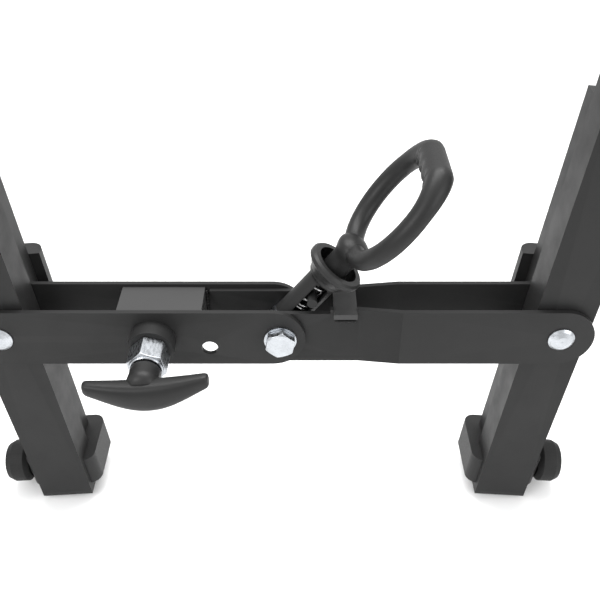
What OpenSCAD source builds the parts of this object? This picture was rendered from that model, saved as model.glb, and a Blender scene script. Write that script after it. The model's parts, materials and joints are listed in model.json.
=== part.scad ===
// Centre-folding cross brace between two side frames, with a spring latch and a pull plunger.
// The brace is drawn about its centre bolt: X runs along the bars, Y away from the front, Z up.
// place() then moves the whole model so that its origin is the left fixing-hole pattern.

/* [Brace] */
// Distance from the centre bolt to each end pin
arm = 170; // [165:1:180]
// Height of the flat bars
bar_h = 40; // [36:1:42]
// Thickness of the flat bars
bar_t = 3; // [2.5:0.5:3]
// Half the clear gap between the two outer bars
gap_half = 13; // [13:0.5:14]
// Half the clear gap between the two inner bars
inner_half = 9.9; // [9.7:0.1:9.9]
// Radius of the outer bars' ends at the centre bolt
nose_r = 20; // [18:1:20]

/* [Side frames] */
// Width of a post
post_w = 36; // [32:1:38]
// Depth of a post
post_d = 22; // [18:1:22]
// Wall of the post tube
post_wall = 2; // [1.5:0.5:2.5]
// Length of a post above the brace
post_up = 168; // [140:1:200]
// Length of a post below the brace
post_down = 150; // [145:1:170]
// Outward lean of each post
post_lean = 5; // [0:0.5:6]
// Width of the rear rail
rail_w = 28; // [24:1:30]
// Depth of the rear rail
rail_d = 12; // [10:1:14]
// Front face of the rear rail
rail_y = 18; // [17.5:0.5:20]

/* [Latch] */
// Angle of the latch tube above the bars
latch_angle = 52; // [50:1:53]
// Outside radius of the latch tube
tube_r = 9.5; // [9:0.1:9.6]
// Bore radius of the latch tube
tube_bore_r = 7; // [6.5:0.1:7.2]
// Travel of the latch handle
latch_travel = 8; // [6:0.5:10]
// Radius of the handle's finger bar
grip_r = 7.2; // [6.5:0.1:7.5]
// Radius of the handle's arms
arm_r = 5.6; // [5:0.1:6]

/* [Plunger] */
// Distance of the plunger from the centre bolt
plunger_x = -77; // [-82:1:-72]
// Radius of the plunger boss
boss_r = 14; // [12:0.5:15]
// Height of the plunger boss
boss_h = 11; // [9:0.5:12]
// Across-flats size of the plunger body
hex_af = 21; // [19:0.5:22]
// Length of the plunger body outside the boss
hex_len = 17; // [15:0.5:18]
// Radius of the plunger pin
pin_r = 4; // [3.5:0.5:4.5]
// Span of the plunger handle
tee_span = 72; // [60:1:76]

/* [Hidden] */
$fn = 64;
eps = 0.01;
out_y = gap_half + bar_t;
half_h = bar_h / 2;
paint = "#2b2b2b";
plastic = "#303030";
zinc = "#c8cdd0";
// Frame origin in the brace's own axes: midway between the two left fixing holes
fix_gap = 50;
fix_mid_z = -51;
origin = [-arm, rail_y + rail_d, fix_mid_z];
fix_r = 4.2;
// End pins
end_pin_r = 6;
end_hole_r = 6.05;
pin_head_r = 8;
washer_r = 16;
washer_t = gap_half - post_d / 2 - 0.1;
// Centre pivot
bolt_r = 5;
sleeve_r = 7;
sleeve_hole_r = 7.06;
nose_reach = 15;
// Inner bars: lowered tail edge, step, ear and joggle stations
tail_x = -44;
tail_top = half_h - 3;
step_x = 30;
ear_x = 46;
joggle_in = 48;
joggle_out = 73;
ear_y = out_y + 0.5;
notch_l = step_x + 2;
notch_z = half_h - 4.5;
plate_t = 3.5;
tail_cut_x = -25;
// Extra pin hole in the left bars
lock_hole_x = -43;
lock_hole_z = -7;
lock_hole_r = 5;
// Spacer block
block_l = -98;
block_r = -47;
block_top = half_h - 2;
// Plunger stations along Y
bar_face = -out_y;
boss_face = bar_face - boss_h;
hex_face = boss_face - hex_len;
pin_in = -gap_half + 6;
tee_neck_r = 9.2;
tee_neck_len = 14.2;
tee_y = hex_face - 15;
// Latch stations along the tube axis
collar_u = 44;
collar_r = 18;
collar_len = 12;
cup_r = 13.4;
cup_depth = 8;
tube_end = collar_u + collar_len - cup_depth;
tube_start = 8;
cross_u = 31;
cross_r = 3;
rod_r = 3.4;
rod_foot = 25;
spring_u0 = cross_u + cross_r + 0.4;
spring_u1 = collar_u + 1;
spring_r = 5.6;
spring_core = 4.2;
stem_u0 = tube_end + 0.4;
stem_u1 = 70;
stem_r = 9;
rod_top = 62;
// Loop handle: centre and radius of its bow, and place of its finger bar
bow_r = 31;
bow_u = 101;
grip_u = 138;

// Moves the brace's own axes to the fixing-hole origin
module place() {
    translate([-origin[0], -origin[1], -origin[2]])
        children();
}

// Points a solid along +Y from y0
module along_y(x, y0, z) {
    translate([x, y0, z])
        rotate([-90, 0, 0])
            children();
}

// Tilts a solid drawn along Z to the latch axis
module on_latch() {
    rotate([0, 90 - latch_angle, 0])
        children();
}

// Puts a side-frame solid at its end pin, leaning outward; side is -1 left, 1 right
module at_side(side) {
    translate([side * arm, 0, 0])
        rotate([0, side * post_lean, 0])
            children();
}

// Rectangular tube standing along Z
module box_tube(w, d, wall, z0, z1) {
    difference() {
        translate([-w / 2, -d / 2, z0])
            cube([w, d, z1 - z0]);
        translate([-w / 2 + wall, -d / 2 + wall, z0 - 1])
            cube([w - 2 * wall, d - 2 * wall, z1 - z0 + 2]);
    }
}

// Drive-in end plug for a tube, with a flat head outside and a tongue inside
module end_plug(w, d, wall, z, up) {
    head = 3;
    tongue = 9;
    z_head = up > 0 ? z : z - head;
    z_tongue = up > 0 ? z - tongue : z;
    union() {
        translate([-w / 2, -d / 2, z_head])
            cube([w, d, head]);
        translate([-w / 2 + wall, -d / 2 + wall, z_tongue])
            cube([w - 2 * wall, d - 2 * wall, tongue]);
    }
}

module side_post(side) {
    color(paint)
        at_side(side)
            difference() {
                box_tube(post_w, post_d, post_wall, -post_down, post_up);
                along_y(0, -post_d, 0)
                    cylinder(h = 2 * post_d, r = end_pin_r);
            }
}

module side_post_caps(side) {
    color(plastic)
        at_side(side) {
            end_plug(post_w, post_d, post_wall, post_up, 1);
            end_plug(post_w, post_d, post_wall, -post_down, -1);
        }
}

module side_rail(side) {
    color(paint)
        at_side(side)
            difference() {
                translate([0, rail_y + rail_d / 2, 0])
                    box_tube(rail_w, rail_d, post_wall, -post_down, post_up - 30);
                fixing_holes(side);
            }
}

// Fixing bores stay along Y and at fixed places, whatever the lean
module fixing_holes(side) {
    rotate([0, -side * post_lean, 0])
        for (k = [-1, 1])
            along_y(0, rail_y - 1, fix_mid_z + k * fix_gap / 2)
                cylinder(h = rail_d + 2, r = fix_r);
}

module side_rail_caps(side) {
    color(plastic)
        at_side(side)
            translate([0, rail_y + rail_d / 2, 0]) {
                end_plug(rail_w, rail_d, post_wall, post_up - 30, 1);
                end_plug(rail_w, rail_d, post_wall, -post_down, -1);
            }
}

// Rounded pad behind the rail, above the brace
module side_rail_bracket(side) {
    pad_r = 9;
    pad_w = 42;
    pad_d = 13;
    color(plastic)
        at_side(side)
            translate([0, rail_y + rail_d, 0])
                difference() {
                    union() {
                        for (k = [-1, 1])
                            translate([k * (pad_w / 2 - pad_r), pad_d - pad_r, -18])
                                cylinder(h = 48, r = pad_r);
                        translate([-pad_w / 2, 0, -18])
                            cube([pad_w, pad_d - pad_r, 48]);
                        translate([-pad_w / 2 + pad_r, 0, -18])
                            cube([pad_w - 2 * pad_r, pad_d, 48]);
                    }
                    translate([-pad_w, -pad_d, -20])
                        cube([2 * pad_w, pad_d, 60]);
                }
}

// Saddle that joins the post to the rail below the brace
module side_lower_clamp(side) {
    clamp_w = 50;
    clamp_r = 8;
    clamp_z = -post_down + 4;
    clamp_h = 24;
    front_y = -post_d / 2 + 4;
    back_y = rail_y + rail_d + 8;
    color(plastic)
        at_side(side)
            difference() {
                translate([0, 0, clamp_z])
                    union() {
                        for (k = [-1, 1], y = [front_y + clamp_r, back_y - clamp_r])
                            translate([k * (clamp_w / 2 - clamp_r), y, 0])
                                cylinder(h = clamp_h, r = clamp_r);
                        translate([-clamp_w / 2, front_y + clamp_r, 0])
                            cube([clamp_w, back_y - front_y - 2 * clamp_r, clamp_h]);
                        translate([-clamp_w / 2 + clamp_r, front_y, 0])
                            cube([clamp_w - 2 * clamp_r, back_y - front_y, clamp_h]);
                    }
                translate([-post_w / 2, -post_d / 2, clamp_z - 1])
                    cube([post_w, post_d, clamp_h + 2]);
                translate([-rail_w / 2, rail_y, clamp_z - 1])
                    cube([rail_w, rail_d, clamp_h + 2]);
            }
}

// Turned rubber stop on the outer side of the clamp
module side_bumper(side) {
    clamp_half = 25;
    bumper_r = 15;
    color("#3a3a3a")
        at_side(side)
            translate([side * clamp_half, 8, -post_down + 16])
                rotate([0, side * 90, 0])
                    rotate_extrude()
                        polygon([[0, 0], [bumper_r - 3, 0], [bumper_r, 3], [bumper_r, 12],
                            [bumper_r - 2, 16], [bumper_r - 7, 18], [0, 18]]);
}

module side_pivot_pin(side) {
    pin_len = 2 * out_y + 3.4 + 1.5;
    color(zinc)
        along_y(side * arm, -out_y - 3.4, 0)
            rotate_extrude()
                polygon([[0, 0], [3.5, 0.3], [pin_head_r - 1.5, 1.4], [pin_head_r, 2.6],
                    [pin_head_r, 3.3], [end_pin_r, 3.3], [end_pin_r, pin_len - 0.6],
                    [end_pin_r - 0.6, pin_len], [0, pin_len]]);
}

// Push-on clip that keeps the pin in
module side_pivot_clip(side) {
    color(zinc)
        along_y(side * arm, out_y + 0.1, 0)
            difference() {
                cylinder(h = 1.3, r = 10);
                translate([0, 0, -1])
                    cylinder(h = 9, r = end_pin_r);
            }
}

// Large plain washers between the bars and the post
module side_washers(side) {
    color(zinc)
        for (y = [-post_d / 2 - washer_t, post_d / 2])
            along_y(side * arm, y, 0)
                difference() {
                    cylinder(h = washer_t, r = washer_r);
                    translate([0, 0, -1])
                        cylinder(h = washer_t + 2, r = end_pin_r);
                }
}

// Outer flat bar of the left link in the XZ plane, extruded along Y from y0
module left_bar(y0, pin_hole_r) {
    tail = 20;
    difference() {
        union() {
            translate([-arm, y0, -half_h])
                cube([arm - (nose_r - nose_reach), bar_t, bar_h]);
            along_y(-(nose_r - nose_reach), y0, 0)
                cylinder(h = bar_t, r = nose_r);
            along_y(-arm, y0, 0)
                cylinder(h = bar_t, r = tail);
        }
        along_y(-arm, y0 - 1, 0)
            cylinder(h = bar_t + 2, r = end_hole_r);
        along_y(0, y0 - 1, 0)
            cylinder(h = bar_t + 2, r = bolt_r);
        along_y(lock_hole_x, y0 - 1, lock_hole_z)
            cylinder(h = bar_t + 2, r = lock_hole_r);
        if (pin_hole_r > 0)
            along_y(plunger_x, y0 - 1, 0)
                cylinder(h = bar_t + 2, r = pin_hole_r);
    }
}

module left_bar_front() {
    color(paint)
        left_bar(-out_y, 8);
}

module left_bar_rear() {
    color(paint)
        left_bar(gap_half, 0);
}

// Folded channel welded between the outer bars; its front wall carries the plunger pin
module spacer_block() {
    wall = 3;
    depth = block_top + half_h - 4;
    color("#4a4a4a")
        difference() {
            translate([block_l, -gap_half, block_top - depth])
                cube([block_r - block_l, 2 * gap_half, depth]);
            translate([block_l - 1, -gap_half + wall, block_top - depth - 1])
                cube([block_r - block_l + 2, 2 * (gap_half - wall), depth - wall + 1]);
            along_y(plunger_x, -gap_half - 1, 0)
                cylinder(h = wall + 2, r = pin_r + 0.06);
            for (y = [-gap_half - 1, gap_half - wall - 1])
                along_y(lock_hole_x, y, lock_hole_z)
                    cylinder(h = wall + 2, r = lock_hole_r + 3);
        }
}

module plunger_boss() {
    color(paint)
        along_y(plunger_x, boss_face, 0)
            difference() {
                cylinder(h = boss_h, r = boss_r);
                translate([0, 0, -1])
                    cylinder(h = boss_h + 2, r = 8);
            }
}

// Weld bead round the foot of the boss
module boss_weld() {
    bead_r = 2.2;
    color(paint)
        along_y(plunger_x, bar_face - bead_r / 2, 0)
            rotate_extrude()
                difference() {
                    translate([boss_r + 0.6, 0])
                        circle(r = bead_r, $fn = 24);
                    translate([-1, -5])
                        square([boss_r + 1, 10]);
                    translate([-1, bead_r / 2])
                        square([40, 10]);
                }
}

// Hexagonal housing with a threaded shank that screws into the boss
module plunger_body() {
    rim = 1.4;
    hex_r = hex_af / (2 * cos(30));
    color(zinc)
        along_y(plunger_x, hex_face, 0)
            difference() {
                union() {
                    translate([0, 0, rim])
                        cylinder(h = hex_len - rim, r = hex_r, $fn = 6);
                    cylinder(h = rim, r = hex_af / 2 - 0.4);
                    translate([0, 0, hex_len])
                        cylinder(h = boss_h + bar_t, r = 8);
                }
                translate([0, 0, -1])
                    cylinder(h = 5.2, r = pin_r + 0.06);
                translate([0, 0, 4])
                    cylinder(h = 60, r = 6.4);
            }
}

// Return spring between the housing's shoulder and the pin's flange
module plunger_spring() {
    spring_len = 16.4;
    color(zinc)
        along_y(plunger_x, hex_face + 4.3, 0)
            difference() {
                cylinder(h = spring_len, r = 5.9);
                translate([0, 0, -1])
                    cylinder(h = spring_len + 2, r = 4.6);
            }
}

module plunger_pin() {
    pin_len = pin_in - tee_y;
    tip = 2;
    flange_y = hex_face + 21;
    color(zinc)
        union() {
            along_y(plunger_x, tee_y, 0) {
                cylinder(h = pin_len - tip, r = pin_r);
                translate([0, 0, pin_len - tip])
                    cylinder(h = tip, r1 = pin_r, r2 = pin_r - 1.4);
            }
            along_y(plunger_x, flange_y, 0)
                cylinder(h = 2.4, r = 6.2);
        }
}

// Cross handle: a round bar with domed ends and a neck round the pin
module t_handle() {
    half = tee_span / 2;
    bar_r = 6.6;
    color("#333333")
        difference() {
            union() {
                translate([plunger_x, tee_y, 0])
                    rotate([0, -4.5, 0]) {
                        translate([-half + bar_r, 0, 0])
                            rotate([0, 90, 0])
                                cylinder(h = 2 * (half - bar_r), r = bar_r);
                        for (k = [-1, 1])
                            translate([k * (half - bar_r), 0, 0])
                                sphere(r = bar_r);
                    }
                along_y(plunger_x, tee_y, 0)
                    cylinder(h = tee_neck_len, r = tee_neck_r);
            }
            along_y(plunger_x, tee_y - 1, 0)
                cylinder(h = 40, r = pin_r + 0.04);
        }
}

module centre_bolt() {
    head_r = 18.4 / 2;
    color(zinc)
        along_y(0, -out_y - 1.6, 0) {
            rotate([0, 0, 20])
                translate([0, 0, -5])
                    cylinder(h = 5, r = head_r, $fn = 6);
            cylinder(h = 2 * out_y + 13, r = bolt_r);
        }
}

module centre_washers() {
    color(zinc)
        for (y = [-out_y - 1.6, out_y])
            along_y(0, y, 0)
                difference() {
                    cylinder(h = 1.6, r = 9.8);
                    translate([0, 0, -1])
                        cylinder(h = 4, r = bolt_r);
                }
}

module centre_nut() {
    color(zinc)
        along_y(0, out_y + 1.6, 0)
            difference() {
                union() {
                    cylinder(h = 7, r = 9.2, $fn = 6);
                    translate([0, 0, 7])
                        cylinder(h = 2, r = 7.2);
                }
                translate([0, 0, -1])
                    cylinder(h = 12, r = bolt_r);
            }
}

module pivot_sleeve() {
    color(zinc)
        along_y(0, -gap_half, 0)
            difference() {
                cylinder(h = 2 * gap_half, r = sleeve_r);
                translate([0, 0, -1])
                    cylinder(h = 2 * gap_half + 2, r = bolt_r);
            }
}

// Latch tube with a long front window and two side slots for the cross pin
module latch_tube() {
    window_w = 9;
    window_u0 = 17;
    window_u1 = 41;
    slot_h = cross_r + 0.2;
    color(paint)
        difference() {
            on_latch()
                translate([0, 0, tube_start])
                    cylinder(h = tube_end - tube_start, r = tube_r);
            along_y(0, -20, 0)
                cylinder(h = 40, r = sleeve_r);
            on_latch() {
                translate([0, 0, 14])
                    cylinder(h = 60, r = tube_bore_r);
                translate([-window_w / 2, -20, window_u0])
                    cube([window_w, 20, window_u1 - window_u0]);
                translate([-slot_h, -20, cross_u - slot_h])
                    cube([2 * slot_h, 40, 2 * slot_h + latch_travel]);
            }
        }
}

// Round collar at the mouth of the tube, with a cup for the handle's stem
module latch_collar() {
    color("#3a3a3a")
        on_latch()
            translate([0, 0, collar_u])
                rotate_extrude()
                    polygon([[tube_r, 0], [tube_r + 2.2, 0], [tube_r + 3.2, 2.4], [collar_r - 2, 6.4],
                        [collar_r, 8.2], [collar_r, 10.6], [collar_r - 1.2, collar_len],
                        [cup_r, collar_len], [cup_r, collar_len - cup_depth],
                        [tube_r, collar_len - cup_depth]]);
}

// Space taken by the coil spring round the rod
module latch_spring() {
    color(zinc)
        on_latch()
            translate([0, 0, spring_u0])
                difference() {
                    cylinder(h = spring_u1 - spring_u0, r = spring_r);
                    translate([0, 0, -1])
                        cylinder(h = 40, r = spring_core);
                }
}

module pull_rod() {
    color(paint)
        on_latch()
            difference() {
                translate([0, 0, rod_foot])
                    cylinder(h = rod_top - rod_foot, r = rod_r);
                translate([0, -10, cross_u])
                    rotate([-90, 0, 0])
                        cylinder(h = 20, r = 2);
            }
}

// Pin across the rod's foot that rests over the stepped edge of the inner bars
module cross_pin() {
    reach = gap_half - 0.3;
    color(paint)
        on_latch()
            translate([0, 0, cross_u])
                rotate([-90, 0, 0]) {
                    translate([0, 0, -reach])
                        cylinder(h = reach - rod_r - 0.2, r = cross_r);
                    translate([0, 0, rod_r + 0.2])
                        cylinder(h = reach - rod_r - 0.2, r = cross_r);
                    translate([0, 0, -rod_r - 1])
                        cylinder(h = 2 * rod_r + 2, r = 2);
                }
}

// Stirrup handle: stem, half-round bow, two straight arms and a thicker finger bar
module loop_handle() {
    color("#3c3c3c")
        on_latch()
            difference() {
                union() {
                    translate([0, 0, stem_u0])
                        cylinder(h = stem_u1 - stem_u0, r = stem_r);
                    translate([0, 0, bow_u])
                        rotate([-90, 0, 90])
                            rotate_extrude(angle = 180)
                                translate([bow_r, 0])
                                    circle(r = arm_r);
                    for (side = [-1, 1])
                        translate([0, side * bow_r, bow_u - eps])
                            cylinder(h = grip_u - bow_u, r = arm_r);
                    translate([0, -bow_r, grip_u])
                        rotate([-90, 0, 0])
                            cylinder(h = 2 * bow_r, r = grip_r);
                    for (side = [-1, 1])
                        translate([0, side * bow_r, grip_u])
                            sphere(r = grip_r);
                }
                translate([0, 0, stem_u0 - 1])
                    cylinder(h = rod_top - stem_u0 + 1, r = rod_r);
            }
}

// Inner bar of the right link, on one side: tail, step, ear, joggle and outer run
module right_bar(side) {
    y_in = side > 0 ? inner_half : -inner_half - bar_t;
    y_out = side > 0 ? gap_half : -out_y;
    shift = y_out - y_in;
    difference() {
        union() {
            // tail with its lowered top edge and slanting end
            translate([0, y_in + bar_t, 0])
                rotate([90, 0, 0])
                    linear_extrude(height = bar_t)
                        polygon([[tail_x, tail_top], [tail_cut_x, -half_h], [joggle_in, -half_h],
                            [joggle_in, half_h], [step_x, half_h], [step_x, tail_top]]);
            // joggle, drawn in plan
            translate([0, 0, -half_h])
                linear_extrude(height = bar_h)
                    polygon([[joggle_in - eps, y_in], [joggle_out, y_out], [joggle_out, y_out + bar_t],
                        [joggle_in - eps, y_in + bar_t]]);
            // outer run with its round end
            translate([joggle_out - eps, y_out, -half_h])
                cube([arm - joggle_out + eps, bar_t, bar_h]);
            along_y(arm, y_out, 0)
                cylinder(h = bar_t, r = half_h);
        }
        translate([notch_l, y_in - 1, notch_z])
            cube([ear_x - notch_l, bar_t + 2, half_h]);
        along_y(0, y_in - 1, 0)
            cylinder(h = bar_t + 2, r = sleeve_hole_r);
        along_y(arm, y_out - 1, 0)
            cylinder(h = bar_t + 2, r = end_hole_r);
    }
}

module right_bar_front() {
    color(paint)
        right_bar(-1);
}

module right_bar_rear() {
    color(paint)
        right_bar(1);
}

// Cross plate seated in the inner bars' notches, with an ear outside each bar
module stop_plate() {
    color("#4a4a4a")
        translate([notch_l, -ear_y, notch_z])
            cube([ear_x - notch_l, 2 * ear_y, plate_t]);
}

place() side_post(-1);  // left_post
place() side_post_caps(-1);  // left_post_caps
place() side_rail(-1);  // left_rail
place() side_rail_caps(-1);  // left_rail_caps
place() side_rail_bracket(-1);  // left_rail_bracket
place() side_lower_clamp(-1);  // left_lower_clamp
place() side_bumper(-1);  // left_bumper
place() side_pivot_pin(-1);  // left_pivot_pin
place() side_pivot_clip(-1);  // left_pivot_clip
place() side_washers(-1);  // left_washers
place() side_post(1);  // right_post
place() side_post_caps(1);  // right_post_caps
place() side_rail(1);  // right_rail
place() side_rail_caps(1);  // right_rail_caps
place() side_rail_bracket(1);  // right_rail_bracket
place() side_lower_clamp(1);  // right_lower_clamp
place() side_bumper(1);  // right_bumper
place() side_pivot_pin(1);  // right_pivot_pin
place() side_pivot_clip(1);  // right_pivot_clip
place() side_washers(1);  // right_washers
place() left_bar_front();
place() left_bar_rear();
place() spacer_block();
place() plunger_boss();
place() boss_weld();
place() plunger_body();
place() plunger_spring();
place() plunger_pin();
place() t_handle();
place() centre_bolt();
place() centre_washers();
place() centre_nut();
place() pivot_sleeve();
place() latch_tube();
place() latch_collar();
place() latch_spring();
place() pull_rod();
place() cross_pin();
place() loop_handle();
place() right_bar_front();
place() right_bar_rear();
place() stop_plate();
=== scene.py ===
"""Looks of the folding cross brace: materials, grips, coil springs, fasteners, weld beads, light and camera.

Places are worked out in the brace's own axes, in millimetres from the centre bolt, and at() turns them
into the frame's metres.
"""
import json
import math

import bmesh
import bpy
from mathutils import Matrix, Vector, noise


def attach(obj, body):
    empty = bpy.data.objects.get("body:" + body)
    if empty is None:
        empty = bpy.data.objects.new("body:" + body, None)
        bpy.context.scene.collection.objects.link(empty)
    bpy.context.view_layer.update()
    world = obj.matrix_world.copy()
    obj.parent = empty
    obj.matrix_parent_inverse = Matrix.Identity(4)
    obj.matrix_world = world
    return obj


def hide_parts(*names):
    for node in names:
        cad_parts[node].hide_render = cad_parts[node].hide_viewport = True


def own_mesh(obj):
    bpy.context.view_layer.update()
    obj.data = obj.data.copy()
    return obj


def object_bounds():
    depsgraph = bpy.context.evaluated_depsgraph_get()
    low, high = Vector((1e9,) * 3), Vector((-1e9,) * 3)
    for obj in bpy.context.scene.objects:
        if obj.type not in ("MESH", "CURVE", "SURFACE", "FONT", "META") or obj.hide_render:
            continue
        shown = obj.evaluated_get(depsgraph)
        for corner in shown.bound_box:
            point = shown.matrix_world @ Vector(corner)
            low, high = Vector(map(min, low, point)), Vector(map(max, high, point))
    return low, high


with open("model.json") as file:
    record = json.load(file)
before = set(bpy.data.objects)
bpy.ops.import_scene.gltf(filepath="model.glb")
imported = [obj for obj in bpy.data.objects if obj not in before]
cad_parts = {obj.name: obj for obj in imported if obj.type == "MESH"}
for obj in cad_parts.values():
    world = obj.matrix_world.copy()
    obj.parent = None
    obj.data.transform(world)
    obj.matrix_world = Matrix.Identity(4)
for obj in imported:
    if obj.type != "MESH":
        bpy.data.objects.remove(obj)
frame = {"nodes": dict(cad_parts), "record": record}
cad_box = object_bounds()
noise.seed_set(7)               # noise_vector's offsets would follow the clock without a seed

# ---------------------------------------------------------------- sizes, in mm from the centre bolt
ARM = 170.0                     # centre bolt to an end pin
OUT_Y = 16.0                    # outer face of the outer bars
RAIL_REAR = 30.0                # rear face of the rails
FIX_MID_Z = -51.0               # middle of the fixing holes
LATCH_ANGLE = math.radians(52)  # lean of the latch tube from level
COLLAR_BEAD_U = 43.6            # weld just under the collar, along the latch tube
PLUNGER_X = -77.0               # axis of the plunger
BOSS_R = 14.0                   # plunger boss
HEX_FACE = -44.0                # front face of the plunger's hexagon
TEE_Y = HEX_FACE - 15.0         # middle of the T-handle's bar
BLOCK_WELD_X = (-98.6, -46.4)   # welds down the spacer block's two ends
BLOCK_WELD_Y = 12.4
BLOCK_WELD_Z = (-8, 16)
PLATE_WELD_X = (33, 45.5)       # welds along the stop plate, from end to end
PLATE_WELD_Y = 13.2
PLATE_WELD_Z = 12


def at(x, y, z):
    """A point given in mm from the centre bolt, in the frame's metres."""
    return Vector((x + ARM, y - RAIL_REAR, z - FIX_MID_Z)) / 1000


def on_latch(u, v, y):
    """A point u mm along the latch tube, v mm across it in the brace's plane and y mm to the rear."""
    along = Vector((math.cos(LATCH_ANGLE), 0, math.sin(LATCH_ANGLE)))
    across = Vector((-math.sin(LATCH_ANGLE), 0, math.cos(LATCH_ANGLE)))
    p = along * u + across * v
    return at(p.x, y, p.z)


LATCH_WAY = (on_latch(1, 0, 0) - on_latch(0, 0, 0)).normalized()


def around(count):
    """The cosine and sine of count even steps round a circle."""
    angles = [2 * math.pi * k / count for k in range(count)]
    return [(math.cos(a), math.sin(a)) for a in angles]


# ---------------------------------------------------------------- materials
def new_material(name):
    """A node material with its Principled shader and an object-space position."""
    mat = bpy.data.materials.new(name)
    mat.use_nodes = True
    nodes = mat.node_tree.nodes
    shader = nodes["Principled BSDF"]
    place = nodes.new("ShaderNodeTexCoord")
    return mat, nodes, mat.node_tree.links, shader, place.outputs["Object"]


def noise_node(nodes, links, place, scale, detail=4.0, stretch=None):
    """A noise of this scale in cells a metre, stretched per axis if stretch is given."""
    tex = nodes.new("ShaderNodeTexNoise")
    tex.inputs["Scale"].default_value = scale
    tex.inputs["Detail"].default_value = detail
    source = place
    if stretch:
        mapping = nodes.new("ShaderNodeMapping")
        mapping.inputs["Scale"].default_value = stretch
        links.new(place, mapping.inputs["Vector"])
        source = mapping.outputs["Vector"]
    links.new(source, tex.inputs["Vector"])
    return tex.outputs["Fac"]


def ramp(nodes, links, fac, stops):
    """A colour ramp over fac; stops are (position, colour)."""
    node = nodes.new("ShaderNodeValToRGB")
    node.color_ramp.elements[0].position, node.color_ramp.elements[0].color = stops[0]
    node.color_ramp.elements[1].position, node.color_ramp.elements[1].color = stops[-1]
    for position, colour in stops[1:-1]:
        element = node.color_ramp.elements.new(position)
        element.color = colour
    links.new(fac, node.inputs["Fac"])
    return node.outputs["Color"]


def grey(value, tint=(1, 1, 1)):
    """An opaque grey, tinted."""
    return (value * tint[0], value * tint[1], value * tint[2], 1)


def bump(nodes, links, shader, layers):
    """Stacks bump layers given as (height socket, distance in metres, strength)."""
    normal = None
    for height, distance, strength in layers:
        node = nodes.new("ShaderNodeBump")
        node.inputs["Distance"].default_value = distance
        node.inputs["Strength"].default_value = strength
        links.new(height, node.inputs["Height"])
        if normal:
            links.new(normal, node.inputs["Normal"])
        normal = node.outputs["Normal"]
    links.new(normal, shader.inputs["Normal"])


def mix_in(nodes, links, factor, base, colour):
    """Mixes a fixed colour over base by factor."""
    mix = nodes.new("ShaderNodeMix")
    mix.data_type = "RGBA"
    mix.inputs["B"].default_value = colour
    links.new(factor, mix.inputs["Factor"])
    links.new(base, mix.inputs["A"])
    return mix.outputs["Result"]


def worn_edges(nodes, links, base, worn, low, high):
    """Mixes a worn colour over base where the surface is convex, from pointiness low to high."""
    geometry = nodes.new("ShaderNodeNewGeometry")
    edge = nodes.new("ShaderNodeMapRange")
    edge.inputs["From Min"].default_value = low
    edge.inputs["From Max"].default_value = high
    links.new(geometry.outputs["Pointiness"], edge.inputs["Value"])
    return mix_in(nodes, links, edge.outputs["Result"], base, worn)


def powder_coat(name, level):
    """Satin black powder coat: orange peel, faint cloudiness, dust specks and rubbed edges."""
    mat, nodes, links, shader, place = new_material(name)
    cloud = noise_node(nodes, links, place, scale=22, detail=5)
    peel = noise_node(nodes, links, place, scale=1400, detail=2)
    speck = noise_node(nodes, links, place, scale=520, detail=6)
    body = ramp(nodes, links, cloud, [(0.3, grey(level * 0.82)), (0.7, grey(level * 1.22))])
    dust = ramp(nodes, links, speck, [(0.0, grey(0)), (0.66, grey(0)), (0.78, grey(0.5))])
    dusty = mix_in(nodes, links, dust, body, grey(level * 3.2))
    colour = worn_edges(nodes, links, dusty, grey(level * 4.0), low=0.53, high=0.62)
    links.new(colour, shader.inputs["Base Color"])
    patch = noise_node(nodes, links, place, scale=60, detail=4)
    rough = ramp(nodes, links, patch, [(0.3, grey(0.38)), (0.7, grey(0.52))])
    links.new(rough, shader.inputs["Roughness"])
    shader.inputs["Specular IOR Level"].default_value = 0.16
    bump(nodes, links, shader, [(peel, 0.00006, 0.5), (cloud, 0.0004, 0.12)])
    return mat


def zinc_plate(name, stretch, tint=(0.96, 1.0, 1.05)):
    """Bright zinc: fine turning or rolling lines, blue-grey clouding and duller spots."""
    mat, nodes, links, shader, place = new_material(name)
    cloud = noise_node(nodes, links, place, scale=90, detail=5)
    lines = noise_node(nodes, links, place, scale=260, detail=3, stretch=stretch)
    dull, middle, bright = grey(0.4, tint), grey(0.47, tint), grey(0.53, tint)
    colour = ramp(nodes, links, cloud, [(0.28, dull), (0.5, middle), (0.75, bright)])
    links.new(colour, shader.inputs["Base Color"])
    shader.inputs["Metallic"].default_value = 1.0
    rough = ramp(nodes, links, lines, [(0.3, grey(0.2)), (0.72, grey(0.4))])
    links.new(rough, shader.inputs["Roughness"])
    bump(nodes, links, shader, [(lines, 0.00004, 0.35), (cloud, 0.0001, 0.15)])
    return mat


def moulded(name, level, roughness, grain):
    """Moulded plastic or rubber: fine spark grain, soft colour drift and scuffed high spots."""
    mat, nodes, links, shader, place = new_material(name)
    drift = noise_node(nodes, links, place, scale=35, detail=4)
    fine = noise_node(nodes, links, place, scale=grain, detail=3)
    body = ramp(nodes, links, drift, [(0.3, grey(level * 0.85)), (0.72, grey(level * 1.2))])
    colour = worn_edges(nodes, links, body, grey(level * 2.2), low=0.52, high=0.64)
    links.new(colour, shader.inputs["Base Color"])
    rough = ramp(nodes, links, fine, [(0.3, grey(roughness - 0.06)), (0.7, grey(roughness + 0.08))])
    links.new(rough, shader.inputs["Roughness"])
    shader.inputs["Specular IOR Level"].default_value = 0.24
    bump(nodes, links, shader, [(fine, 0.00008, 0.45), (drift, 0.0003, 0.1)])
    return mat


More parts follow.
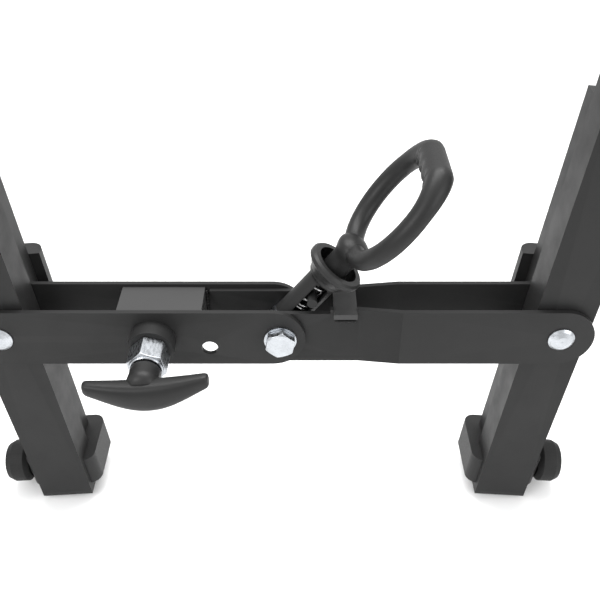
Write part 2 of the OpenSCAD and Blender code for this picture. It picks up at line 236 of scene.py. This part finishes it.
PAINT = powder_coat("black_powder_coat", 0.005)
# A lighter copy of the black paint, with painted light: it stands in for the spacer block's and stop plate's
# tops lit from above.
PAINT_PAINTED_LIT = powder_coat("black_powder_coat_painted_lit", 0.012)
ZINC = zinc_plate("zinc_plate", (1, 1, 8))
ZINC_TURNED = zinc_plate("zinc_turned", (3, 12, 3))
SPRING_STEEL = zinc_plate("spring_steel", (6, 6, 6), (1, 1, 1))
GRIP = moulded("grip_rubber", 0.012, 0.42, 1500)
PLASTIC = moulded("black_plastic", 0.009, 0.5, 1100)
RUBBER = moulded("black_rubber", 0.01, 0.62, 900)
SLOT_MATERIAL = {"black_paint": PAINT, "zinc": ZINC, "grip": GRIP, "plastic": PLASTIC, "rubber": RUBBER}


def break_edges(obj, width, degrees):
    """A small bevel on every edge sharper than this angle."""
    edge = obj.modifiers.new("edge", "BEVEL")
    edge.width = width
    edge.segments = 2
    edge.limit_method = "ANGLE"
    edge.angle_limit = math.radians(degrees)


def dress_cad():
    """Every CAD node gets its slot's material, except those in special, and a small broken edge."""
    slots = {part["node"]: part["material_slot"] for part in frame["record"]["subparts"]}
    # The spacer block and stop plate take the lighter paint copy, painted light for their lit tops; the
    # plunger body takes turned zinc.
    special = {"spacer_block": PAINT_PAINTED_LIT, "stop_plate": PAINT_PAINTED_LIT, "plunger_body": ZINC_TURNED}
    for name, obj in frame["nodes"].items():
        mat = special.get(name, SLOT_MATERIAL[slots[name]])
        for index in range(max(1, len(obj.material_slots))):
            if not obj.material_slots:
                obj.data.materials.append(mat)
            obj.material_slots[index].material = mat
        break_edges(obj, width=0.0005, degrees=40)


# ---------------------------------------------------------------- mesh helpers
def add_mesh(name, verts, faces, mat, body, smooth=True):
    """A new piece that rides on body and takes the material mat."""
    mesh = bpy.data.meshes.new(name)
    mesh.from_pydata(verts, [], faces)
    mesh.validate()
    work = bmesh.new()
    work.from_mesh(mesh)
    bmesh.ops.recalc_face_normals(work, faces=work.faces)
    work.to_mesh(mesh)
    work.free()
    for face in mesh.polygons:
        face.use_smooth = smooth
    mesh.materials.append(mat)
    obj = bpy.data.objects.new(name, mesh)
    bpy.context.scene.collection.objects.link(obj)
    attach(obj, body)
    return obj


def loft(rings, closed_path):
    """Vertices and faces of a skin through rings of equal length, capped unless the path closes."""
    count = len(rings[0])
    verts = [p for ring in rings for p in ring]
    faces = []
    last = len(rings) if closed_path else len(rings) - 1
    for i in range(last):
        j = (i + 1) % len(rings)
        for k in range(count):
            m = (k + 1) % count
            faces.append((i * count + k, i * count + m, j * count + m, j * count + k))
    if not closed_path:
        faces.append(tuple(range(count)))
        faces.append(tuple(reversed(range((len(rings) - 1) * count, len(rings) * count))))
    return verts, faces


def sweep(path, radii, sides=16, closed_path=False):
    """A round tube along path, whose radius changes from point to point."""
    rings = []
    count = len(path)
    circle = around(sides)
    normal = Vector((0, 0, 1))
    for i, p in enumerate(path):
        before = path[i - 1] if closed_path or i > 0 else p
        after = path[(i + 1) % count] if closed_path or i < count - 1 else p
        tangent = (after - before).normalized()
        normal = (normal - tangent * normal.dot(tangent)).normalized()
        side = tangent.cross(normal)
        rings.append([p + (normal * c + side * s) * radii[i] for c, s in circle])
    return loft(rings, closed_path)


def lathe_rings(profile, x, count):
    """Rings about the line along Y at x; profile is a list of (y, radius)."""
    return [[at(x + r * c, y, r * s) for c, s in around(count)] for y, r in profile]


# ---------------------------------------------------------------- moulded grips
GRIP_U, GRIP_R = 138.0, 7.4      # finger bar: place along the tube, and radius
RING_FOOT, RING_HALF = 70.0, 32.0  # crotch of the ring, and half its width
ARM_R = 5.9                      # ring's arms
BAR_HALF = 15.0                  # half the straight finger bar
RIDGE_PITCH, RIDGE_H = 10.0, 2.6
RIDGE_REACH = 1.5                # how far past the bar's radius a point still takes part in a ridge


def loop_path():
    """Centre line of the stirrup as (u, y, radius): an oval from the crotch out to a straight finger bar."""
    reach = GRIP_U - RING_FOOT
    steps = 64
    bar_steps = 30
    end = 0.86                   # part of the half oval that the ring covers before the bar
    squareness = 0.88
    blend_from = 0.72            # where the arms begin to thicken towards the bar
    blend_over = 0.28
    side = []
    for i in range(steps + 1):
        t = i / steps
        a = math.pi * end * t
        u = RING_FOOT + reach * (1 - math.cos(a)) / (1 - math.cos(math.pi * end))
        y = RING_HALF * math.sin(a) ** squareness if t else 0.0
        y += (BAR_HALF - RING_HALF * math.sin(math.pi * end) ** squareness) * t ** 6
        blend = max(0.0, (t - blend_from) / blend_over)
        side.append((u, y, ARM_R + (GRIP_R - ARM_R) * blend * blend * (3 - 2 * blend)))
    bar = [(GRIP_U, BAR_HALF - 2 * BAR_HALF * i / bar_steps, GRIP_R) for i in range(1, bar_steps)]
    back = [(u, -y, r) for u, y, r in reversed(side[1:])]
    return side + bar + back


def loop_handle():
    """Rubber-coated stirrup: a closed ring with finger ridges inside the bar, on a stem with a ball top."""
    points = loop_path()
    path = [on_latch(u, 0, y) for u, y, r in points]
    radii = [r / 1000 for u, y, r in points]
    verts, faces = sweep(path, radii, 24, True)
    centre = on_latch(GRIP_U, 0, 0)
    ridged = []
    for v in verts:
        offset = v - centre
        inward = -offset.dot(LATCH_WAY) * 1000
        reach = offset.y * 1000
        if 0 < inward < GRIP_R + RIDGE_REACH and abs(reach) < RIDGE_PITCH * 1.5:
            wave = 0.5 - 0.5 * math.cos(reach * 2 * math.pi / RIDGE_PITCH)
            v = v - LATCH_WAY * (wave * RIDGE_H * min(1, inward / GRIP_R)) / 1000
        ridged.append(v)
    ring = add_mesh("loop_grip", ridged, faces, GRIP, "latch")
    stem_profile = [(48.6, 0.5), (48.6, 8.2), (49.4, 9.0), (60, 9.0), (63, 9.4), (66, 11.0), (69, 12.2),
                    (72, 11.6), (75, 8.5), (76.4, 4.5), (76.8, 0.5)]
    flatness = 0.86
    rings = [[on_latch(u, r * flatness * s, r * c) for c, s in around(32)] for u, r in stem_profile]
    verts, faces = loft(rings, False)
    stem = add_mesh("loop_stem", verts, faces, GRIP, "latch")
    smooth = stem.modifiers.new("smooth", "SUBSURF")
    smooth.levels = smooth.render_levels = 1
    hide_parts("loop_handle")
    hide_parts("loop_handle")


def t_handle():
    """Pull handle: level along the top, deep in the middle below, with blunt rounded tips and flat faces."""
    half = 36.0
    tilt = math.radians(5)
    off_axis = 2.0               # the bar sits this far right of the plunger's axis
    lift = 3.0                   # and this far above it
    tip_start = 0.42             # sine at which the tips begin to round off
    steps = 44
    rings = []
    for i in range(steps + 1):
        s = -math.cos(math.pi * i / steps)
        tip = min(1.0, math.sqrt(max(0.0, 1 - s * s)) / tip_start)
        tip = math.sqrt(max(0.0, 1 - (1 - tip) ** 2)) if tip < 1 else 1.0
        belly = math.cos(math.pi / 2 * abs(s)) ** 1.2
        depth = (3.4 + 3.4 * belly) * tip + 0.2
        top = 3.6 - 1.6 * belly
        bottom = -4.4 - 12.2 * belly
        z_mid = (top + bottom) / 2
        height = (top - bottom) / 2 * tip + 0.2
        x = half * s
        y = TEE_Y - 0.5 + 1.6 * s * s
        ring = []
        for ca, sa in around(36):
            dy = math.copysign(abs(ca) ** 0.7, ca) * depth
            dz = math.copysign(abs(sa) ** 0.8, sa) * height
            turned_x = x * math.cos(tilt) - (z_mid + dz) * math.sin(tilt)
            turned_z = x * math.sin(tilt) + (z_mid + dz) * math.cos(tilt)
            ring.append(at(PLUNGER_X + off_axis + turned_x, y + dy, turned_z + lift))
        rings.append(ring)
    verts, faces = loft(rings, False)
    bar = add_mesh("t_handle_bar", verts, faces, GRIP, "tee")
    neck = [(TEE_Y - 2, 7.4), (TEE_Y + 3, 9.8), (TEE_Y + 6, 9.5), (TEE_Y + 9, 9.2), (TEE_Y + 12.6, 9.2),
            (TEE_Y + 13.8, 8.8), (TEE_Y + 14.2, 8.0), (TEE_Y + 14.2, 4.2)]
    verts, faces = loft(lathe_rings(neck, PLUNGER_X, 40), False)
    stem = add_mesh("t_handle_neck", verts, faces, GRIP, "tee")
    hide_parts("t_handle")
    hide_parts("t_handle")


# ---------------------------------------------------------------- springs
def coil(name, start, direction, length, radius, wire, turns, node):
    """A compression spring with closed ends, in metres, in place of a CAD node on the left link."""
    direction = direction.normalized()
    side = direction.cross(Vector((0, 1, 0)) if abs(direction.y) < 0.9 else Vector((1, 0, 0))).normalized()
    up = direction.cross(side)
    total = int(turns * 20)
    dead = 1 / turns             # part of the wire in each closed end turn
    dead_rise = wire * 1.1
    path = []
    for i in range(total + 1):
        t = i / total
        if t < dead:
            rise = t / dead * dead_rise
        elif t > 1 - dead:
            rise = length - (1 - t) / dead * dead_rise
        else:
            rise = dead_rise + (t - dead) / (1 - 2 * dead) * (length - 2 * dead_rise)
        a = 2 * math.pi * t * turns
        path.append(start + direction * rise + (side * math.cos(a) + up * math.sin(a)) * radius)
    verts, faces = sweep(path, [wire / 2] * len(path), 10)
    obj = add_mesh(name, verts, faces, SPRING_STEEL, "left_link")
    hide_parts(node)
    return obj


def springs():
    """Both coils, the latch's along the latch tube and the plunger's along the plunger's axis."""
    latch_foot = on_latch(19, 0, 0)
    latch = coil("latch_coil", latch_foot, LATCH_WAY, length=0.026, radius=0.0052, wire=0.0014,
                 turns=6.5, node="latch_spring")
    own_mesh(latch)
    plunger_foot = at(PLUNGER_X, HEX_FACE + 4.6, 0)
    plunger = coil("plunger_coil", plunger_foot, Vector((0, 1, 0)), length=0.0158, radius=0.0052, wire=0.0013,
                   turns=6, node="plunger_spring")
    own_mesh(plunger)


# ---------------------------------------------------------------- turned and hexagonal hardware
def hex_reach(angle, flats):
    """Distance from the axis to a hexagon's side at this angle; corners lie at 30 degrees and every 60 on."""
    sector = math.pi / 3
    return flats / 2 / math.cos((angle + sector / 2) % sector - sector / 2)


def hex_piece(name, y0, y1, x, flats, phase, bore, mat, body):
    """A hexagonal head, nut or housing along Y from y0 to y1, chamfered at both ends as turned stock is."""
    count = 96
    crown = flats / 2 * 0.97     # radius of the flat end inside the chamfer
    slope = 0.55                 # how far the chamfer drops for each mm outward
    toward = 1 if y1 > y0 else -1

    def ring(offset, radius, chamfer):
        """One ring of the given radius, or the hexagon's own outline if radius is None."""
        points = []
        for k in range(count):
            a = 2 * math.pi * k / count
            corner = hex_reach(a - phase, flats)
            r = radius if radius else corner
            drop = (corner - crown) * slope * chamfer
            points.append(at(x + r * math.cos(a), offset + toward * drop, r * math.sin(a)))
        return points

    rings = [ring(y0, crown, 0), ring(y0, None, 1), ring(y1, None, -1), ring(y1, crown, 0)]
    if bore:
        rings = [ring(y0, bore, 0)] + rings + [ring(y1, bore, 0)]
    verts, faces = loft(rings, bool(bore))
    piece = add_mesh(name, verts, faces, mat, body, smooth=False)
    break_edges(piece, width=0.00025, degrees=20)
    return piece


def turned(name, profile, x, mat, body, closed_path=False):
    """A turned piece along Y; profile is a list of (y, radius)."""
    verts, faces = loft(lathe_rings(profile, x, 48), closed_path)
    piece = add_mesh(name, verts, faces, mat, body)
    piece.modifiers.new("split", "EDGE_SPLIT").split_angle = math.radians(35)
    return piece


def centre_fastener():
    """Centre bolt with a chamfered head and a threaded end, and its collared lock nut."""
    washer_face = OUT_Y + 1.6
    head_af = 16.4
    head_h = 5.4
    phase = math.radians(-10)
    shank_r, thread_r, root_r = 4.9, 4.95, 4.3
    pitch = 1.5
    head = hex_piece("bolt_head", -washer_face, -washer_face - head_h, 0, head_af, phase, 0,
                     ZINC, "left_link")
    shank = [(-washer_face - 0.2, shank_r), (washer_face + 6.6, shank_r)]
    y = washer_face + 6.8
    while y < washer_face + 10.6:
        shank += [(y, thread_r), (y + pitch / 2, root_r)]
        y += pitch
    shank += [(washer_face + 11.0, 4.0), (washer_face + 11.3, 3.4)]
    stud = turned("bolt_shank", shank, 0, ZINC_TURNED, "left_link")
    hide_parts("centre_bolt")
    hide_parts("centre_bolt")
    nut_af = 16.0
    nut_bore = 5.0
    nut = hex_piece("lock_nut", washer_face, washer_face + 6.6, 0, nut_af, 0, nut_bore, ZINC, "left_link")
    crown = [(washer_face + 6.4, nut_bore), (washer_face + 6.4, 7.3), (washer_face + 8.2, 7.3),
             (washer_face + 8.9, 6.6), (washer_face + 8.9, nut_bore)]
    collar = turned("lock_nut_collar", crown, 0, ZINC, "left_link", True)
    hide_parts("centre_nut")
    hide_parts("centre_nut")


def plunger_housing():
    """Hexagonal plunger housing with a bright turned rim at its mouth and a shank in the boss."""
    flats = 21.0
    length = 17.0
    rim = 1.2
    bore = 6.4
    shank_r = 7.95
    shank_length = 14.0
    back = HEX_FACE + length
    body = hex_piece("plunger_hex", HEX_FACE + rim, back, PLUNGER_X, flats, math.radians(12),
                     bore, ZINC, "left_link")
    rim_profile = [(HEX_FACE + rim + 0.3, 4.1), (HEX_FACE + rim + 0.3, 9.9), (HEX_FACE + 0.5, 9.9),
                   (HEX_FACE, 9.3), (HEX_FACE, 4.6), (HEX_FACE + 0.4, 4.1)]
    mouth = turned("plunger_rim", rim_profile, PLUNGER_X, ZINC_TURNED, "left_link", True)
    shank_profile = [(back - 0.3, bore), (back - 0.3, shank_r), (back + shank_length, shank_r),
                     (back + shank_length, bore)]
    shank = turned("plunger_shank", shank_profile, PLUNGER_X, ZINC_TURNED, "left_link", True)
    for piece in (body, mouth, shank):
        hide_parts("plunger_body")


# ---------------------------------------------------------------- weld beads
def bead(name, path, radius, body, closed_path=False, ripple=2.2):
    """A weld run: a half-sunk tube whose radius swells at every ripple; radius and ripple are in mm."""
    radii = []
    travelled = 0.0
    for i, p in enumerate(path):
        if i:
            travelled += (p - path[i - 1]).length * 1000
        swell = abs(math.sin(math.pi * travelled / ripple))
        radii.append(radius / 1000 * (0.82 + 0.24 * swell + 0.1 * noise.noise(p * 240)))
    verts, faces = sweep(path, radii, 12, closed_path)
    verts = [v + noise.noise_vector(v * 600) * 0.00018 for v in verts]
    return add_mesh(name, verts, faces, PAINT, body)


def straight_run(a, b, step=0.5):
    """Points about step mm apart from a to b."""
    count = max(4, int((b - a).length * 1000 / step))
    return [a.lerp(b, i / count) for i in range(count + 1)]


def welds():
    """Beads round the boss and the latch tube, down the spacer block's ends and along the stop plate."""
    ring_r = BOSS_R + 0.9
    ring = [at(PLUNGER_X + ring_r * c, -OUT_Y - 0.5, ring_r * s) for c, s in around(190)]
    boss = bead("boss_bead", ring, 2.9, "left_link", True, 4.2)
    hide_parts("boss_weld")
    neck_r = 9.9
    neck = [on_latch(COLLAR_BEAD_U, neck_r * s, neck_r * c) for c, s in around(96)]
    bead("collar_bead", neck, 1.2, "left_link", True, 1.8)
    low, high = BLOCK_WELD_Z
    for index, x in enumerate(BLOCK_WELD_X):
        for label, y in (("front", -BLOCK_WELD_Y), ("rear", BLOCK_WELD_Y)):
            run = straight_run(at(x, y, low), at(x, y, high))
            bead(f"block_bead_{index}_{label}", run, 1.3, "left_link")
    start, end = PLATE_WELD_X
    for label, y in (("front", -PLATE_WELD_Y), ("rear", PLATE_WELD_Y)):
        run = straight_run(at(start, y, PLATE_WELD_Z), at(end, y, PLATE_WELD_Z))
        bead(f"plate_bead_{label}", run, 1.1, "right_link")


# ---------------------------------------------------------------- stage, light and camera
def area_light(name, place, target, size, power):
    """A rectangular lamp at place that faces target; size is in metres and power in watts."""
    lamp = bpy.data.lights.new(name, "AREA")
    lamp.shape = "RECTANGLE"
    lamp.size, lamp.size_y = size
    lamp.energy = power
    obj = bpy.data.objects.new(name, lamp)
    bpy.context.scene.collection.objects.link(obj)
    obj.location = place
    obj.rotation_euler = (target - place).to_track_quat("-Z", "Y").to_euler()


def studio():
    """Pale floor just below the part, white world and three soft lights; all in metres."""
    floor_gap = 0.004
    floor_z = cad_box[0][2] - floor_gap
    reach = 6.0
    corners = [(-reach, -reach, floor_z), (reach, -reach, floor_z), (reach, reach, floor_z),
               (-reach, reach, floor_z)]
    mesh = bpy.data.meshes.new("floor")
    mesh.from_pydata(corners, [], [(0, 1, 2, 3)])
    mat, nodes, links, shader, place = new_material("pale_floor")
    tone = ramp(nodes, links, noise_node(nodes, links, place, 3), [(0.3, grey(0.92)), (0.7, grey(0.95))])
    links.new(tone, shader.inputs["Base Color"])
    shader.inputs["Roughness"].default_value = 0.7
    mesh.materials.append(mat)
    floor = bpy.data.objects.new("floor", mesh)
    bpy.context.scene.collection.objects.link(floor)
    world = bpy.data.worlds.new("studio")
    bpy.context.scene.world = world
    world.use_nodes = True
    background = world.node_tree.nodes["Background"]
    background.inputs["Color"].default_value = (1, 1, 1, 1)
    background.inputs["Strength"].default_value = 1.0
    middle = at(0, 0, 0)
    area_light("top_softbox", middle + Vector((0.0, 0.25, 0.9)), middle, (0.9, 0.5), 12)
    area_light("key", middle + Vector((-0.7, -0.7, 0.7)), middle, (0.5, 0.5), 6)
    area_light("fill", middle + Vector((0.8, -0.6, 0.4)), middle, (0.6, 0.6), 3.5)


def camera():
    """Looks down at the front of the brace, pitched 37.5 degrees below level."""
    pitch = math.radians(37.5)
    data = bpy.data.cameras.new("camera")
    data.lens = 47.4
    data.sensor_width = 36
    data.clip_start = 0.01
    obj = bpy.data.objects.new("camera", data)
    bpy.context.scene.collection.objects.link(obj)
    obj.location = at(11.9, -381, 310)
    obj.rotation_euler = (math.pi / 2 - pitch, 0, 0)
    bpy.context.scene.camera = obj
    bpy.context.scene.view_settings.view_transform = "Standard"


camera()
dress_cad()
loop_handle()
t_handle()
springs()
centre_fastener()
plunger_housing()
welds()
studio()
